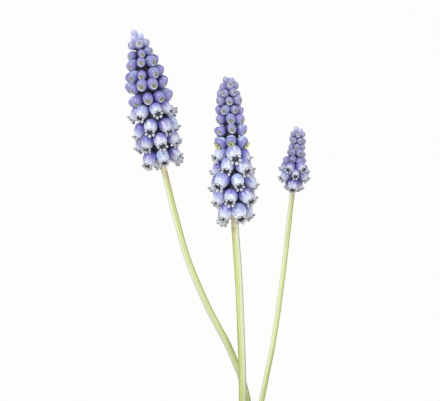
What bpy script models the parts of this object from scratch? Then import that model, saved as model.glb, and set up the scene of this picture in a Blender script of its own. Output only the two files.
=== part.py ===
# Grape hyacinth in a plain clay pot: one bulb, three flower stalks, eight leaves, soil and pot.
# Metres, +Z up. The pot stands on z = 0 with its axis on x = y = 0, and -Y is the front.

import math
import random

import bmesh
import bpy
from mathutils import Vector

MM = 0.001
GAP = 0.3 * MM

# Pot: a thrown clay pot with a plain collar and one drain hole.
POT_HEIGHT = 78 * MM
POT_FOOT_RADIUS = 30 * MM
POT_WALL = 4 * MM
POT_FLOOR = 5 * MM
POT_COLLAR_HEIGHT = 17 * MM
POT_COLLAR_RADIUS = 46 * MM
POT_COLLAR_TAPER = 1.5 * MM
POT_BODY_TOP_RADIUS = 41 * MM
POT_EDGE = 1.2 * MM
DRAIN_RADIUS = 5.5 * MM
POT_SIDES = 36

# Soil: fills the pot to under its rim, with a lumpy top that is a little higher round the bulb.
SOIL_LEVEL = 70 * MM
SOIL_LUMP = 0.5 * MM
SOIL_MOUND = 1.2 * MM
SOIL_SIDES = 28
SOIL_RINGS = 6

# Bulb: sunk in the soil, with its neck standing clear. Leaves and stalks rise from the neck's mouth.
# The outline's points are a radius and a height over the soil's level, in mm.
BULB_OUTLINE = (
    (4.5, -27), (9.2, -24.6), (12.2, -20), (13, -15), (12.2, -10), (10.3, -5), (9.1, -1.5), (8.7, 0),
)
NECK_RADIUS = 8.2 * MM
NECK_HEIGHT = 4.5 * MM
MOUTH_RADIUS = 7.2 * MM
MOUTH_FLOOR = SOIL_LEVEL + 0.5 * MM
BULB_SIDES = 20

# Leaves: narrow, channelled, arching low over the pot's rim, long and short by turns. A short one leans
# up a little more, so that it clears the rim too, and sways more.
LEAF_COUNT = 8
LEAF_LONG = 88 * MM
LEAF_SHORT = (71 * MM, 78 * MM)
LONG_LEAF_LEAN_DEG = -0.5
SHORT_LEAF_LEAN_DEG = (1.5, 3.0)
SHORT_LEAF_SWAY = 1.6
LEAF_RING_RADIUS = 5.9 * MM
LEAF_START_JITTER_DEG = 5
LEAF_SWAY_DEG = 9
LEAF_ROLL_DEG = 16
LEAF_SEED = 40
LEAF_STEPS = 10
LEAF_THICK_MIDDLE = 0.9 * MM
LEAF_THICK_EDGE = 0.6 * MM
LEAF_CHANNEL_CURVE = 1.6
# Each pair is a share of the leaf's length and a value there: the midline's rise above the horizontal,
# the blade's width, and how far its edges stand above its midline.
LEAF_RISE_DEG = (
    (0, 87), (0.05, 80), (0.12, 38), (0.2, 9), (0.35, -1), (0.5, -9), (0.65, -28), (0.85, -48), (1, -60),
)
LEAF_WIDTH_MM = ((0, 3.4), (0.15, 4.2), (0.5, 5.2), (0.8, 4.4), (0.95, 2.4), (1, 1.1))
LEAF_CHANNEL_MM = ((0, 0.9), (0.2, 1.2), (0.6, 0.9), (1, 0.2))

# Flower stalks: the radius at the foot and the top in mm, and points up the middle in mm, from the
# bulb's mouth to the foot of the flower head.
STALK_BEVEL_STEPS = 2
STALK_POINT_EVERY = 6 * MM
STALKS = {
    "left": {
        "radii": (1.15, 0.95),
        "points": (
            (1.6, 3.0, 76), (1.2, 2.9, 82), (0.2, 2.6, 89), (-1.6, 2.2, 95.5), (-3.8, 1.7, 101),
            (-6.4, 1.0, 106.8), (-9.5, 0.2, 112.5), (-13.1, -0.6, 119.7), (-18.6, -1.8, 133),
            (-22.6, -2.6, 147), (-26.1, -3.2, 161.3),
        ),
    },
    "middle": {
        "radii": (1.2, 1.2),
        "points": (
            (-1.0, -2.5, 76), (-1.1, -2.4, 94), (-1.6, -1.9, 110), (-2.3, -1.3, 126), (-3.5, -0.8, 143.4),
        ),
    },
    "right": {
        "radii": (0.85, 0.8),
        "points": (
            (3.4, -1.2, 76), (4.3, -0.6, 84), (6.7, 0.9, 96), (9.2, 2.6, 109), (11.9, 4.4, 128),
            (15.0, 6.0, 154.9),
        ),
    },
}

# Flower heads: florets in rings round an axis, from the stalk's end to the topmost bud. Lengths are in mm.
# lowest_ring is the height of the middles of the lowest florets over the stalk's end.
# A ring's stage runs from 0 at the lowest open ring, through 1 at the highest open ring, to 2 at the tip.
# reach is how far the florets of a ring stand out from the axis, by stage. Sizes are (width, length).
# tip_buds stand in for the last ring: each is a turn about the axis and a rise above the horizontal, in
# degrees, and a lift along the axis. lowest_turn_deg turns the lowest ring on by that much more.
HEADS = {
    "left": {
        "tip": (-35.3, -4.6, 206.7),
        "lowest_ring": 3.9,
        "rings": 11,
        "open_rings": 4,
        "ring_step": (5.3, 2.5),
        "reach": ((0, 7.0), (0.3, 8.0), (1, 7.9), (1.3, 7.4), (1.5, 6.1), (1.7, 4.8), (1.88, 3.7), (2, 1.3)),
        "open_size": (4.05, 5.2),
        "bud_size": (3.3, 3.3),
        "tip_size": (2.3, 2.8),
        "tip_buds": ((10, 84, 1.4), (22, 62, -0.2), (158, 64, 0), (272, 60, -0.3)),
        "turn_deg": 44,
        "lowest_turn_deg": 26,
        "seed": 3,
    },
    "middle": {
        "tip": (-5.6, 0.2, 191.7),
        "lowest_ring": 4.4,
        "rings": 13,
        "open_rings": 5,
        "ring_step": (5.0, 2.0),
        "reach": (
            (0, 6.7), (0.25, 7.9), (0.6, 7.8), (1, 7.2), (1.2, 6.2), (1.4, 4.9), (1.65, 4.5), (1.88, 3.2),
            (2, 1.3),
        ),
        "open_size": (4.45, 5.7),
        "bud_size": (3.0, 3.0),
        "tip_size": (2.2, 2.4),
        "tip_buds": ((15, 70, 0.2), (162, 66, -0.2), (268, 66, -0.1)),
        "turn_deg": 76,
        "lowest_turn_deg": 0,
        "seed": 11,
    },
    "right": {
        "tip": (17.0, 6.8, 175.8),
        "lowest_ring": 1.9,
        "rings": 9,
        "open_rings": 3,
        "ring_step": (2.8, 1.8),
        "reach": ((0, 3.6), (0.5, 4.8), (1, 5.3), (1.2, 3.7), (1.5, 3.1), (1.8, 2.7), (2, 1.1)),
        "open_size": (3.15, 3.7),
        "bud_size": (2.25, 2.3),
        "tip_size": (1.6, 1.6),
        "tip_buds": ((5, 74, 0.4), (165, 70, -0.2), (275, 60, -0.3)),
        "turn_deg": 143,
        "lowest_turn_deg": 0,
        "seed": 5,
    },
}
# Which of a head's sizes its florets have, by stage.
FLORET_SIZES = ((0, "open_size"), (1, "open_size"), (1.2, "bud_size"), (1.3, "bud_size"), (2, "tip_size"))
# How far below the horizontal a floret points, by stage. Below zero it points up.
FLORET_DROP_DEG = (
    (0, 64), (0.6, 58), (0.8, 54), (1, 48), (1.12, 38), (1.35, 27), (1.7, 12), (1.9, -16), (2, -60),
)
# How much taller than wide a floret is, seen along its length, by stage.
FLORET_TALL = ((0, 1), (1, 1), (1.12, 1.18), (1.9, 1.15), (2, 1))
# How far apart the florets of a ring stand, in their own widths, by stage.
FLORET_SPACING = ((0, 1.25), (1, 1.25), (1.2, 1.15), (2, 1.15))
FLORET_WIDEST = 0.55
TURN_JITTER_DEG = 6
DROP_JITTER_DEG = 8
SIZE_JITTER = 0.1
RISE_JITTER = 0.15
TIP_ROOT_RADIUS = 0.55 * MM
# Each pair is a place along a floret and its radius there, as shares of its length and its half width.
OPEN_SHAPE = ((-0.15, 0.5), (0.09, 0.87), (0.38, 1.0), (0.68, 0.86), (0.87, 0.62), (1.0, 0.7))
BUD_SHAPE = ((-0.3, 0.6), (0.48, 1.0), (1.0, 0.66))
OPEN_MOUTH = 0.84
BUD_MOUTH = 0.88
OPEN_SIDES = 6
BUD_SIDES = 5
# The head's core is as thin as the stalk up to this share of the way to the lowest ring.
NECK_SHARE = 0.35
CORE_SIDES = 8
CORE_OVER_ROOTS = 0.45 * MM
CORE_LEAST_RADIUS = 0.7 * MM
ROOT_LEAST_RADIUS = 0.25 * MM

COLOURS = {
    "clay": ((0.60, 0.25, 0.13), 0.85),
    "soil": ((0.055, 0.035, 0.024), 0.95),
    "tunic": ((0.42, 0.25, 0.13), 0.7),
    "leaf": ((0.16, 0.34, 0.10), 0.45),
    "stalk": ((0.56, 0.66, 0.28), 0.45),
    "floret": ((0.26, 0.25, 0.68), 0.45),
}


def clear_scene():
    for obj in list(bpy.data.objects):
        bpy.data.objects.remove(obj)


def material(name):
    """The Principled material of that name, made once."""
    found = bpy.data.materials.get(name)
    if found:
        return found
    colour, roughness = COLOURS[name]
    made = bpy.data.materials.new(name)
    made.use_nodes = True
    shader = made.node_tree.nodes["Principled BSDF"]
    shader.inputs["Base Color"].default_value = (*colour, 1)
    shader.inputs["Roughness"].default_value = roughness
    shader.inputs["Metallic"].default_value = 0
    return made


def keyed(pairs, at):
    """The value at a place between keys, on straight lines."""
    for (a, low), (b, high) in zip(pairs, pairs[1:]):
        if at <= b:
            share = max(0.0, (at - a) / (b - a))
            return low + (high - low) * share
    return pairs[-1][1]


def object_of(bm, name, finish):
    """Turns a bmesh into a smooth-shaded object with one material."""
    bmesh.ops.recalc_face_normals(bm, faces=bm.faces)
    mesh = bpy.data.meshes.new(name)
    bm.to_mesh(mesh)
    bm.free()
    mesh.materials.append(material(finish))
    mesh.shade_smooth()
    mesh.set_sharp_from_angle(angle=math.radians(40))
    obj = bpy.data.objects.new(name, mesh)
    bpy.context.scene.collection.objects.link(obj)
    return obj


def turned(name, outline, sides, finish):
    """A solid of revolution about Z. An outline that doesn't start on the axis is closed into a ring."""
    bm = bmesh.new()
    points = [bm.verts.new((r, 0, z)) for r, z in outline]
    loop = points if outline[0][0] == 0 else points + points[:1]
    edges = [bm.edges.new(pair) for pair in zip(loop, loop[1:])]
    axis = {"cent": (0, 0, 0), "axis": (0, 0, 1)}
    bmesh.ops.spin(bm, geom=points + edges, angle=2 * math.pi, steps=sides, use_merge=True, **axis)
    bmesh.ops.remove_doubles(bm, verts=bm.verts, dist=0.01 * MM)
    return object_of(bm, name, finish)


def cut(obj, cutter):
    """Takes the cutter's shape out of obj, and hides the cutter."""
    cutter.hide_render = True
    cutter.display_type = "WIRE"
    modifier = obj.modifiers.new("cut", "BOOLEAN")
    modifier.operation = "DIFFERENCE"
    modifier.object = cutter


def pot_inner_radius(height):
    """Radius of the pot's inside wall, which slopes with the body and is 4 mm in from it."""
    slope = (POT_BODY_TOP_RADIUS - POT_FOOT_RADIUS) / (POT_HEIGHT - POT_COLLAR_HEIGHT)
    return POT_FOOT_RADIUS - POT_WALL + slope * height


def make_pot():
    collar_foot = POT_HEIGHT - POT_COLLAR_HEIGHT
    collar_foot_radius = POT_COLLAR_RADIUS - POT_COLLAR_TAPER
    outline = [
        (DRAIN_RADIUS, 0),
        (POT_FOOT_RADIUS - POT_EDGE, 0),
        (POT_FOOT_RADIUS, POT_EDGE),
        (POT_BODY_TOP_RADIUS, collar_foot),
        (collar_foot_radius - POT_EDGE, collar_foot),
        (collar_foot_radius, collar_foot + POT_EDGE),
        (POT_COLLAR_RADIUS, POT_HEIGHT - POT_EDGE),
        (POT_COLLAR_RADIUS - POT_EDGE, POT_HEIGHT),
        (pot_inner_radius(POT_HEIGHT) + POT_EDGE, POT_HEIGHT),
        (pot_inner_radius(POT_HEIGHT), POT_HEIGHT - POT_EDGE),
        (pot_inner_radius(POT_FLOOR), POT_FLOOR),
        (DRAIN_RADIUS, POT_FLOOR),
    ]
    return turned("pot", outline, POT_SIDES, "clay")


def soil_height(radius, turn):
    """Height of the soil's top: small lumps by formula, a mound round the bulb, and level at the wall."""
    share = radius / pot_inner_radius(SOIL_LEVEL)
    wide = math.sin(7 * turn + 9 * share) * math.cos(4 * turn - 14 * share)
    fine = 0.6 * math.sin(11 * turn + 23 * share)
    fade = math.sqrt(max(0.0, math.sin(math.pi * share)))
    return SOIL_LEVEL + SOIL_LUMP * (wide + fine) * fade + SOIL_MOUND * (1 - share) ** 2


def make_soil():
    """Soil fills the pot's inside 0.3 mm clear of its wall and floor."""
    bm = bmesh.new()
    bottom = POT_FLOOR + GAP
    wall = pot_inner_radius(SOIL_LEVEL) - GAP
    turns = [2 * math.pi * side / SOIL_SIDES for side in range(SOIL_SIDES)]
    rings = []
    for ring in range(1, SOIL_RINGS + 1):
        radius = wall * ring / SOIL_RINGS
        points = [(radius * math.cos(a), radius * math.sin(a), soil_height(radius, a)) for a in turns]
        rings.append([bm.verts.new(point) for point in points])
    radius = pot_inner_radius(bottom) - GAP
    foot = [bm.verts.new((radius * math.cos(a), radius * math.sin(a), bottom)) for a in turns]
    rings.append(foot)
    for inner, outer in zip(rings, rings[1:]):
        for side in range(SOIL_SIDES):
            after = (side + 1) % SOIL_SIDES
            bm.faces.new((inner[side], outer[side], outer[after], inner[after]))
    for ring, height in ((rings[0], soil_height(0, 0)), (foot, bottom)):
        middle = bm.verts.new((0, 0, height))
        for side in range(SOIL_SIDES):
            bm.faces.new((ring[side], ring[(side + 1) % SOIL_SIDES], middle))
    return object_of(bm, "soil", "soil")


def bulb_outline(grow=0.0):
    """The bulb's outside up to the soil's level, grown outwards for its pit in the soil."""
    points = [(radius * MM + grow, SOIL_LEVEL + height * MM) for radius, height in BULB_OUTLINE]
    base_radius, base = points[0]
    return [(0, base - grow), (base_radius, base - grow), *points[1:]]


def make_bulb():
    neck_top = SOIL_LEVEL + NECK_HEIGHT
    outline = [
        *bulb_outline(),
        (NECK_RADIUS, neck_top - 0.8 * MM),
        (NECK_RADIUS - 0.4 * MM, neck_top),
        (MOUTH_RADIUS, neck_top),
        (MOUTH_RADIUS, MOUTH_FLOOR),
        (0, MOUTH_FLOOR),
    ]
    return turned("bulb", outline, BULB_SIDES, "tunic")


def cut_bulb_pit(soil):
    """The pit follows the bulb 0.3 mm clear of it and opens at the soil's top."""
    outline = bulb_outline(GAP)
    over = SOIL_LEVEL + 2 * NECK_HEIGHT
    outline += [(outline[-1][0], over), (0, over)]
    cut(soil, turned("bulb_pit", outline, BULB_SIDES, "soil"))


def leaf_line(length, lean_deg):
    """Points of a leaf's midline as (out from the bulb's axis, up, angle above the horizontal)."""
    out, up = LEAF_RING_RADIUS, MOUTH_FLOOR + GAP
    line = []
    fine = 8
    steps = LEAF_STEPS * fine
    for step in range(steps + 1):
        share = step / steps
        angle = math.radians(keyed(LEAF_RISE_DEG, share) + lean_deg * min(1.0, share * 4))
        if step % fine == 0:
            line.append((out, up, angle))
        out += math.cos(angle) * length / steps
        up += math.sin(angle) * length / steps
    return line


def make_leaf(number):
    """A leaf is one thin closed blade, channelled along its upper side, that sways and rolls a little."""
    long_leaf = number % 2 == 0
    draw = random.Random(LEAF_SEED + number)
    length = LEAF_LONG if long_leaf else draw.uniform(*LEAF_SHORT)
    lean_deg = LONG_LEAF_LEAN_DEG if long_leaf else draw.uniform(*SHORT_LEAF_LEAN_DEG)
    start_deg = 360 * number / LEAF_COUNT + draw.uniform(-1, 1) * LEAF_START_JITTER_DEG
    sway_deg = LEAF_SWAY_DEG * draw.choice((-1, 1)) * draw.uniform(0.4, 1)
    if not long_leaf:
        sway_deg *= SHORT_LEAF_SWAY
    roll_deg = LEAF_ROLL_DEG * draw.uniform(-1, 1)
    bm = bmesh.new()
    rows = []
    for step, (out, up, angle) in enumerate(leaf_line(length, lean_deg)):
        share = step / LEAF_STEPS
        turn = math.radians(start_deg + sway_deg * share**1.5)
        radial = Vector((math.cos(turn), math.sin(turn), 0))
        side = Vector((-math.sin(turn), math.cos(turn), 0))
        normal = Vector((0, 0, math.cos(angle))) - radial * math.sin(angle)
        roll = math.radians(roll_deg * share)
        flat, upright = side, normal
        side = flat * math.cos(roll) + upright * math.sin(roll)
        normal = upright * math.cos(roll) - flat * math.sin(roll)
        middle = radial * out + Vector((0, 0, up))
        half = keyed(LEAF_WIDTH_MM, share) * MM / 2
        channel = keyed(LEAF_CHANNEL_MM, share) * MM
        row = []
        for across in (-1, -0.5, 0, 0.5, 1):
            thick = LEAF_THICK_MIDDLE + (LEAF_THICK_EDGE - LEAF_THICK_MIDDLE) * abs(across)
            point = middle + side * half * across + normal * channel * abs(across) ** LEAF_CHANNEL_CURVE
            row.append((point + normal * thick / 2, point - normal * thick / 2))
        rows.append([bm.verts.new(top) for top, _ in row] + [bm.verts.new(low) for _, low in reversed(row)])
    around = len(rows[0])
    for here, there in zip(rows, rows[1:]):
        for i in range(around):
            j = (i + 1) % around
            # The two faces of the blade are split along the same diagonals.
            if i < around // 2:
                bm.faces.new((here[i], here[j], there[j]))
                bm.faces.new((here[i], there[j], there[i]))
            else:
                bm.faces.new((here[i], here[j], there[i]))
                bm.faces.new((here[j], there[j], there[i]))
    for end in (rows[0], rows[-1]):
        for i in range(4):
            bm.faces.new((end[i], end[i + 1], end[8 - i], end[9 - i]))
    return object_of(bm, f"leaf_{number + 1}", "leaf")


def smooth_line(points, every):
    """Points about that far apart on one smooth curve through the given points."""
    ends = [points[0] * 2 - points[1], *points, points[-1] * 2 - points[-2]]
    line = []
    for before, a, b, after in zip(ends, ends[1:], ends[2:], ends[3:]):
        count = max(1, round((b - a).length / every))
        for step in range(count):
            t = step / count
            bend = before * 2 - a * 5 + b * 4 - after
            twist = a * 3 - before - b * 3 + after
            line.append(a + ((b - before) * t + bend * t**2 + twist * t**3) * 0.5)
    return [*line, points[-1]]


def make_stalk(name):
    """A stalk is a round stem on one smooth curve, standing in the bulb's mouth."""
    spec = STALKS[name]
    points = [Vector(p) * MM for p in spec["points"]]
    points.insert(0, Vector((points[0].x, points[0].y, MOUTH_FLOOR + GAP)))
    line = smooth_line(points, STALK_POINT_EVERY)
    curve = bpy.data.curves.new(f"stalk_{name}", "CURVE")
    curve.dimensions = "3D"
    curve.bevel_depth = 1
    curve.bevel_resolution = STALK_BEVEL_STEPS
    curve.use_fill_caps = True
    spline = curve.splines.new("POLY")
    spline.points.add(len(line) - 1)
    low, high = (radius * MM for radius in spec["radii"])
    for i, (point, place) in enumerate(zip(spline.points, line)):
        point.co = (*place, 1)
        point.radius = low + (high - low) * i / (len(line) - 1)
    curve.materials.append(material("stalk"))
    obj = bpy.data.objects.new(f"stalk_{name}", curve)
    bpy.context.scene.collection.objects.link(obj)
    return obj


def head_axis(name):
    """(foot, direction, length) of a head's axis, which carries on from the top of its stalk."""
    foot = Vector(STALKS[name]["points"][-1]) * MM
    line = Vector(HEADS[name]["tip"]) * MM - foot
    return foot, line.normalized(), line.length


def ring_stage(spec, ring):
    last_open = spec["open_rings"] - 1
    if ring <= last_open:
        return ring / last_open
    return 1 + (ring - last_open) / (spec["rings"] - 1 - last_open)


def ring_places(name):
    """Height of each ring's roots along the axis. The middles of its florets close up towards the tip."""
    spec = HEADS[name]
    _, _, length = head_axis(name)
    first, last = spec["ring_step"]
    steps = [first + (last - first) * i / (spec["rings"] - 2) for i in range(spec["rings"] - 1)]
    lowest = spec["lowest_ring"] * MM
    tip = (spec["tip_size"][1] / 2 + max(lift for _, _, lift in spec["tip_buds"])) * MM
    scale = (length - tip - lowest) / sum(steps)
    middle, places = lowest, []
    for ring, step in enumerate([*steps, 0]):
        stage = ring_stage(spec, ring)
        drop = math.radians(keyed(FLORET_DROP_DEG, stage))
        places.append(middle + FLORET_WIDEST * floret_size(spec, stage)[1] * math.sin(drop))
        middle += step * scale
    return places


def floret_size(spec, stage):
    """(width, length) of a floret: full size while open, smaller as a bud, smallest at the tip."""
    return [keyed([(at, spec[kind][i] * MM) for at, kind in FLORET_SIZES], stage) for i in (0, 1)]


def root_radius(spec, stage):
    """How far a ring's roots stand from the axis so that its florets just fill the head's reach."""
    width, length = floret_size(spec, stage)
    drop = math.radians(keyed(FLORET_DROP_DEG, stage))
    lie, tip = math.cos(drop), abs(math.sin(drop))
    half = keyed(FLORET_TALL, stage) * width / 2
    out = max(place * length * lie + size * half * tip for place, size in OPEN_SHAPE)
    return max(ROOT_LEAST_RADIUS, keyed(spec["reach"], stage) * MM - out)


def florets(name):
    """Every floret of a head, as (root, direction, upper side, width, length, stage)."""
    spec = HEADS[name]
    foot, axis, _ = head_axis(name)
    across = axis.cross(Vector((0, 1, 0))).normalized()
    draw = random.Random(spec["seed"])
    turn = math.radians(spec["turn_deg"])
    found = []
    places = ring_places(name)
    for ring, place in enumerate(places[:-1]):
        stage = ring_stage(spec, ring)
        width, length = floret_size(spec, stage)
        radius = root_radius(spec, stage)
        drop_deg = keyed(FLORET_DROP_DEG, stage)
        middle = radius + FLORET_WIDEST * length * math.cos(math.radians(drop_deg))
        spacing = keyed(FLORET_SPACING, stage)
        count = max(1, round(2 * math.pi * middle / (width * spacing)))
        turn += math.pi / count
        start = turn + (math.radians(spec["lowest_turn_deg"]) if ring == 0 else 0)
        for i in range(count):
            here = start + 2 * math.pi * i / count + math.radians(draw.uniform(-1, 1) * TURN_JITTER_DEG)
            drop = math.radians(drop_deg + draw.uniform(-1, 1) * DROP_JITTER_DEG)
            scale = 1 + draw.uniform(-1, 1) * SIZE_JITTER
            lift = draw.uniform(-1, 1) * RISE_JITTER * width
            radial = across * math.cos(here) + axis.cross(across) * math.sin(here)
            root = foot + axis * (place + lift) + radial * radius
            direction = radial * math.cos(drop) - axis * math.sin(drop)
            upper = radial * math.sin(drop) + axis * math.cos(drop)
            found.append((root, direction, upper, width * scale, length * scale, stage))
    for turn_deg, rise_deg, lift in spec["tip_buds"]:
        here, rise = math.radians(turn_deg), math.radians(rise_deg)
        radial = across * math.cos(here) + axis.cross(across) * math.sin(here)
        root = foot + axis * (places[-1] + lift * MM) + radial * TIP_ROOT_RADIUS
        direction = radial * math.cos(rise) + axis * math.sin(rise)
        upper = axis * math.cos(rise) - radial * math.sin(rise)
        found.append((root, direction, upper, *floret_size(spec, 2), 2))
    return found


def make_floret(name, root, direction, upper, width, length, stage):
    """A floret in few faces: an urn drawn in to its mouth, or a short bud. Both have a sunk mouth."""
    shape, mouth, sides = BUD_SHAPE, BUD_MOUTH, BUD_SIDES
    if stage <= 1:
        shape, mouth, sides = OPEN_SHAPE, OPEN_MOUTH, OPEN_SIDES
    side_on = direction.cross(upper)
    tall = keyed(FLORET_TALL, stage)
    bm = bmesh.new()
    rings = []
    for place, size in shape:
        turns = [2 * math.pi * side / sides for side in range(sides)]
        radius = size * width / 2
        centre = root + direction * place * length
        ring = [centre + (upper * tall * math.cos(a) + side_on * math.sin(a)) * radius for a in turns]
        rings.append([bm.verts.new(point) for point in ring])
    middle = bm.verts.new(root + direction * mouth * length)
    bm.faces.new(rings[0])
    for low, high in zip(rings, rings[1:]):
        for i in range(sides):
            j = (i + 1) % sides
            bm.faces.new((low[i], low[j], high[i]))
            bm.faces.new((low[j], high[j], high[i]))
    for i in range(sides):
        bm.faces.new((rings[-1][i], rings[-1][(i + 1) % sides], middle))
    bmesh.ops.triangulate(bm, faces=bm.faces)
    return object_of(bm, name, "floret")


def make_core(name):
    """The head's core, which every floret of the head is rooted in."""
    spec = HEADS[name]
    foot, axis, _ = head_axis(name)
    places = ring_places(name)
    neck = STALKS[name]["radii"][1] * MM
    sections = [(GAP, neck), (NECK_SHARE * places[0], neck)]
    for ring, place in enumerate(places):
        radius = root_radius(spec, ring_stage(spec, ring)) + CORE_OVER_ROOTS
        sections.append((place, max(CORE_LEAST_RADIUS, radius)))
    bm = bmesh.new()
    turn_to = axis.to_track_quat("Z", "Y")
    rings = []
    for place, radius in sections:
        turns = [2 * math.pi * side / CORE_SIDES for side in range(CORE_SIDES)]
        ring = [foot + turn_to @ Vector((radius * math.cos(a), radius * math.sin(a), place)) for a in turns]
        rings.append([bm.verts.new(point) for point in ring])
    for low, high in zip(rings, rings[1:]):
        for i in range(CORE_SIDES):
            j = (i + 1) % CORE_SIDES
            bm.faces.new((low[i], low[j], high[j], high[i]))
    bm.faces.new(rings[0])
    bm.faces.new(rings[-1])
    return object_of(bm, f"head_{name}", "floret")


def keep_outer_surface(mesh):
    """Fills the small hollows that joining seals between florets: only the largest surface stays."""
    bm = bmesh.new()
    bm.from_mesh(mesh)
    surfaces = []
    left = set(bm.faces)
    while left:
        found = set()
        ahead = [left.pop()]
        while ahead:
            face = ahead.pop()
            found.add(face)
            linked = {other for edge in face.edges for other in edge.link_faces} & left
            left -= linked
            ahead.extend(linked)
        surfaces.append(found)
    surfaces.sort(key=len)
    inner = [face for surface in surfaces[:-1] for face in surface]
    bmesh.ops.delete(bm, geom=inner, context="FACES")
    bm.to_mesh(mesh)
    bm.free()


def make_head(name):
    """One solid: the core and all the florets of the head, joined."""
    head = make_core(name)
    loose = bpy.data.collections.new(f"florets_{name}")
    bpy.context.scene.collection.children.link(loose)
    for number, placed in enumerate(florets(name)):
        floret = make_floret(f"floret_{name}_{number}", *placed)
        bpy.context.scene.collection.objects.unlink(floret)
        loose.objects.link(floret)
    union = head.modifiers.new("florets", "BOOLEAN")
    union.operation = "UNION"
    union.operand_type = "COLLECTION"
    union.collection = loose
    graph = bpy.context.evaluated_depsgraph_get()
    joined = bpy.data.meshes.new_from_object(head.evaluated_get(graph))
    keep_outer_surface(joined)
    head.modifiers.clear()
    head.data = joined
    for floret in list(loose.objects):
        bpy.data.objects.remove(floret)
    bpy.data.collections.remove(loose)
    return head


def main():
    clear_scene()
    make_pot()
    soil = make_soil()
    make_bulb()
    cut_bulb_pit(soil)
    for number in range(LEAF_COUNT):
        make_leaf(number)
    for name in STALKS:
        make_stalk(name)
        make_head(name)


main()
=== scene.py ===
import random
from math import ceil, cos, pi, radians, sin, sqrt

import bmesh
import bpy
from mathutils import Matrix, Vector, noise


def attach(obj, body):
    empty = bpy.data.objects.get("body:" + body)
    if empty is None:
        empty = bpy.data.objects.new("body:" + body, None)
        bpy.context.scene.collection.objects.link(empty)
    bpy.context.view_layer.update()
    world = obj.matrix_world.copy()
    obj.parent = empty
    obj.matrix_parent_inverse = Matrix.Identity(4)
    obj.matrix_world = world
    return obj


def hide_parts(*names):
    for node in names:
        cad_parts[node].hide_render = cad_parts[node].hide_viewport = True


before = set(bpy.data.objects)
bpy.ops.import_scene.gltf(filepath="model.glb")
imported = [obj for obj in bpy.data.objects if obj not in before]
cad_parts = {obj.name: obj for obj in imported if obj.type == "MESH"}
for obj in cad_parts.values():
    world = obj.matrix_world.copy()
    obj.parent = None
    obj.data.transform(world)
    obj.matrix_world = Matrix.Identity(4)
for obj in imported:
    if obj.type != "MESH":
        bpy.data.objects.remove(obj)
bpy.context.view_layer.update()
print("frame loaded:", len(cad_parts), "nodes")

mm = 0.001
gap = 0.3 * mm  # clearance that the CAD leaves between neighbours


# Small tools

def keyed(pairs, at):
    # the value at a place between keys, on straight lines
    for (a, low), (b, high) in zip(pairs, pairs[1:]):
        if at <= b:
            return low + (high - low) * max(0.0, (at - a) / (b - a))
    return pairs[-1][1]


def eased(pairs, at):
    # the same keys, on a smooth curve through them
    for i, ((a, low), (b, high)) in enumerate(zip(pairs, pairs[1:])):
        if at <= b:
            before = pairs[max(0, i - 1)]
            after = pairs[min(len(pairs) - 1, i + 2)]
            t = max(0.0, (at - a) / (b - a))
            slopeIn = (high - before[1]) / (b - before[0]) * (b - a)
            slopeOut = (after[1] - low) / (after[0] - a) * (b - a)
            return (
                low * (2 * t**3 - 3 * t**2 + 1) + slopeIn * (t**3 - 2 * t**2 + t)
                + high * (3 * t**2 - 2 * t**3) + slopeOut * (t**3 - t**2)
            )
    return pairs[-1][1]


def colour(hexText):
    # sRGB hex to the linear colour that Blender's sockets take
    parts = [int(hexText[i:i + 2], 16) / 255 for i in (1, 3, 5)]
    linear = [p / 12.92 if p <= 0.04045 else ((p + 0.055) / 1.055) ** 2.4 for p in parts]
    return (*linear, 1)

def turnsOf(count):
    # angles spread evenly round a circle
    return [2 * pi * i / count for i in range(count)]


def roundAt(turn, radius, height=0.0):
    # the point at a turn and a radius about Z
    return radius * cos(turn), radius * sin(turn), height


def added(name, data):
    # a new object, in the scene
    obj = bpy.data.objects.new(name, data)
    bpy.context.scene.collection.objects.link(obj)
    return obj


def meshObject(name, points, faces, finish=None, values=None):
    # a smooth mesh with its faces turned outwards, and values kept on its points by name
    mesh = bpy.data.meshes.new(name)
    mesh.from_pydata([tuple(p) for p in points], [], faces)
    for label, numbers in (values or {}).items():
        isVector = hasattr(numbers[0], "__len__")
        kind = "FLOAT_VECTOR" if isVector else "INT" if isinstance(numbers[0], int) else "FLOAT"
        flat = [part for number in numbers for part in number] if isVector else numbers
        kept = mesh.attributes.new(label, kind, "POINT")
        kept.data.foreach_set("vector" if isVector else "value", flat)
    bm = bmesh.new()
    bm.from_mesh(mesh)
    bmesh.ops.recalc_face_normals(bm, faces=bm.faces)
    bm.to_mesh(mesh)
    bm.free()
    mesh.shade_smooth()
    if finish:
        mesh.materials.append(finish)
    return added(name, mesh)


def loftFaces(rows, around, first=0, capped=False):
    # quads between rows of points that each close into a ring and, if capped, a face over each end
    faces = [
        (first + row * around + i, first + row * around + (i + 1) % around,
         first + (row + 1) * around + (i + 1) % around, first + (row + 1) * around + i)
        for row in range(rows - 1) for i in range(around)
    ]
    ends = (first, first + (rows - 1) * around) if capped else ()
    return faces + [tuple(range(end, end + around)) for end in ends]


def rowsObject(name, rows, finish, ends=()):
    # a solid of rows of points round an axis, closed by a point at each end or else into a ring
    sides = len(rows[0])
    points = [*(point for row in rows for point in row), *ends]
    faces = loftFaces(len(rows), sides)
    last = (len(rows) - 1) * sides
    if ends:
        foot, top = len(points) - 2, len(points) - 1
        faces += [((i + 1) % sides, i, foot) for i in range(sides)]
        faces += [(last + i, last + (i + 1) % sides, top) for i in range(sides)]
    else:
        faces += [(last + i, last + (i + 1) % sides, (i + 1) % sides, i) for i in range(sides)]
    return meshObject(name, points, faces, finish)


def turnedRows(outline, sides, wobble):
    # rows of a turned form, each point moved a little by wobble
    return [[roundAt(turn, *wobble(*place, turn)) for turn in turnsOf(sides)] for place in outline]


def dress(obj, slot, *nodes):
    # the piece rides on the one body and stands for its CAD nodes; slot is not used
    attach(obj, "root")
    if nodes:
        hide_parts(*nodes)


# Nodes

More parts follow.
